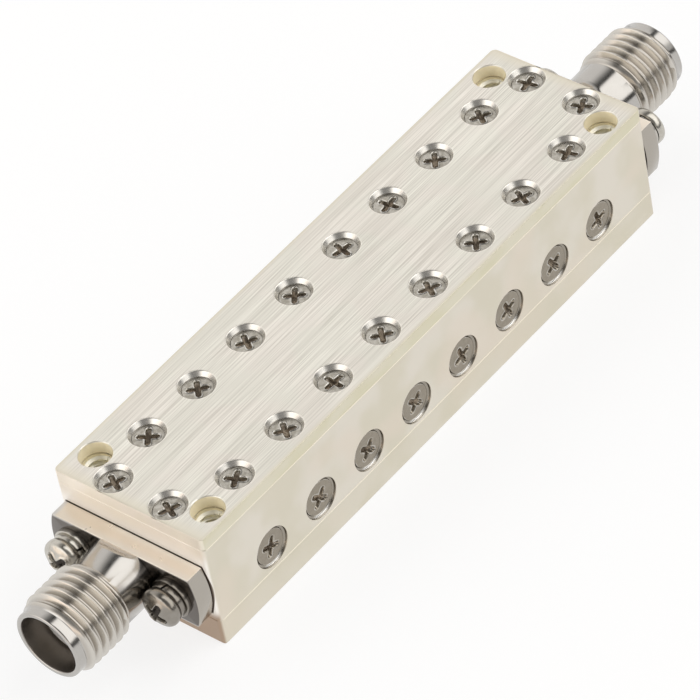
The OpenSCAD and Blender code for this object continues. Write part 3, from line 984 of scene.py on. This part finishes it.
def screw_colour(tree):
    at = where(tree)
    on_flange = at.x.above(BODY_END + 0.1, BODY_END + 0.3)
    in_side = at.y.above(HALF_Y - 0.3, HALF_Y - 0.25)
    stain = tree.noise(at.here, 2.2, 3.0, 0.6).above(0.32, 0.68) * (1 - on_flange * 0.6)
    base = tree.mix(stain, rgb(0.56, 0.535, 0.485), rgb(0.375, 0.35, 0.30))
    # Painted shade: the screws in the side are darker than the lid's, and so are their crosses
    base = tree.mix(in_side * 0.85, base, rgb(0.27, 0.235, 0.185))
    # Painted shadow of the flange: on the input's -Y side the screw and its washers are darker than
    # elsewhere, the head a bit less so
    flange_face = BODY_END + FLANGE_T
    darker = at.signed_x.below(0.2 - flange_face, 0.4 - flange_face) * at.signed_y.below(-2.0, -1.5)
    on_head = at.x.above(flange_face + 0.8, flange_face + 1.0)
    base = tree.mix(darker * (0.7 - on_head * 0.1), base, rgb(0.14, 0.12, 0.10))
    # Painted highlights on the lips round each cross and on the heads' rims, in patches, none on the pan
    # heads
    glint = tree.attribute("glint").above(0.2, 0.8) * (1 - in_side * 0.45) * (1 - on_flange)
    glint = glint * (0.3 + tree.noise(at.here, 1.9, 1.0).above(0.42, 0.58) * 0.7)
    base = tree.mix(glint, base, rgb(0.72, 0.70, 0.67))
    # The crosses are painted darker in blotches, darkest on the pan heads
    blotches = tree.noise(at.here, 2.6, 1.0).above(0.4, 0.6)
    cross_dark = tree.mix(blotches, rgb(0.15, 0.118, 0.085), rgb(0.42, 0.345, 0.26))
    cross_dark = tree.mix(in_side * 0.8, cross_dark, rgb(0.11, 0.087, 0.06))
    cross_dark = tree.mix(on_flange, cross_dark, rgb(0.05, 0.042, 0.035))
    return tree.mix(cross_darkening(tree), base, cross_dark)


def screw_roughness(tree):
    return 0.18 + tree.noise(tree.place(), 3.0, 2.0) * 0.12 + cross_darkening(tree) * 0.3


def screw_metallic(tree):
    return 1 - cross_darkening(tree) * 0.6


def screw_grain(tree):
    return tree.bump(tree.noise(tree.place(), 4.0, 3.0), 0.6, 1.6e-5)


def hole_colour(tree):
    return tree.mix(tree.noise(tree.place(), 1.5, 1.0), rgb(1.0, 0.97, 0.82), rgb(0.99, 0.98, 0.91))


def gold_colour(tree):
    return tree.mix(tree.noise(tree.place(), 2.0, 2.0), rgb(0.83, 0.66, 0.35), rgb(0.78, 0.62, 0.33))


# The white insulator is painted grey, a painted shade for its place deep in the bore
def white_colour(tree):
    return tree.mix(tree.noise(tree.place(), 1.2, 2.0), rgb(0.62, 0.61, 0.58), rgb(0.56, 0.55, 0.53))


silver_lid = shade("brushed silver", lid_colour, lid_roughness, lid_metallic, lid_grain)
silver_side = shade("satin silver", side_colour, side_roughness, side_metallic, side_grain)
steel = shade("turned steel", steel_colour, steel_roughness, steel_metallic, steel_grain)
screw_steel = shade("screw steel", screw_colour, screw_roughness, screw_metallic, screw_grain)
hole_metal = shade("tapped silver", hole_colour, 0.3, metallic=0.3)
gold = shade("gold", gold_colour, 0.3)
white = shade("white insulator", white_colour, 0.5, metallic=0.0)

# Pieces
for label, side in (("input", -1), ("output", 1)):
    join(make_shell(label + "_shell", side), "connector_steel", label + "_connector_shell")
    join(make_washers(label + "_washers", side), "screw_steel", label + "_flat_washers")
    join(make_split_washers(label + "_split_washers", side), "screw_steel", label + "_lock_washers")

screws_in_place = screw_tree()
lid_screw = flat_head("lid_screw", head_d=2.24, land=0.12, cone=0.4, shank_d=1.4, length=3.0)
end_screw = flat_head("end_screw", head_d=2.24, land=0.12, cone=0.4, shank_d=1.4, length=2.25)
rod_screw = flat_head("rod_screw", head_d=2.7, land=0.2, cone=0.55, shank_d=1.6, length=4.5)
pan_screw = pan_head("pan_screw")
join(make_lid(), "lid_plating", "top_lid")
row = screw_row("lid_screws_free_side", lid_screw, free_spots, seed=1)
join(row, "screw_steel", "lid_screws_free_row")
row = screw_row("lid_screws_root_side", lid_screw, root_spots, seed=2)
join(row, "screw_steel", "lid_screws_root_row")
row = screw_row("lid_screws_at_ends", end_screw, end_spots, seed=3)
join(row, "screw_steel", "lid_screws_ends")
join(make_rod_seats(), "housing_plating")
row = screw_row("side_screws", rod_screw, rod_spots, seed=4, facing=(math.pi / 2, 0, 0))
join(row, "screw_steel", "rod_screws")
for label, side in (("input", -1), ("output", 1)):
    reach = side * (BODY_END + FLANGE_T + WASHER_T + LOCK_T)
    spots = [(reach, -SCREW_Y, AXIS_Z, 62), (reach, SCREW_Y, AXIS_Z, 40)]
    facing = (0, side * math.pi / 2, 0)
    row = screw_row(label + "_pan_screws", pan_screw, spots, seed=5, facing=facing)
    join(row, "screw_steel", label + "_flange_screws")
for template in (lid_screw, end_screw, rod_screw, pan_screw):
    bpy.data.objects.remove(template)
join(make_hole_threads("mounting_hole_threads"), "housing_plating")

finishes = {
    "lid_plating": silver_lid, "housing_plating": silver_side, "connector_steel": steel,
    "screw_steel": screw_steel, "contact_gold": gold, "insulator_white": white,
}
slot_of = {part["node"]: part["material_slot"] for part in frame["record"]["subparts"]}
for name, node in frame["nodes"].items():
    node.data.materials.clear()
    node.data.materials.append(finishes[slot_of[name]])
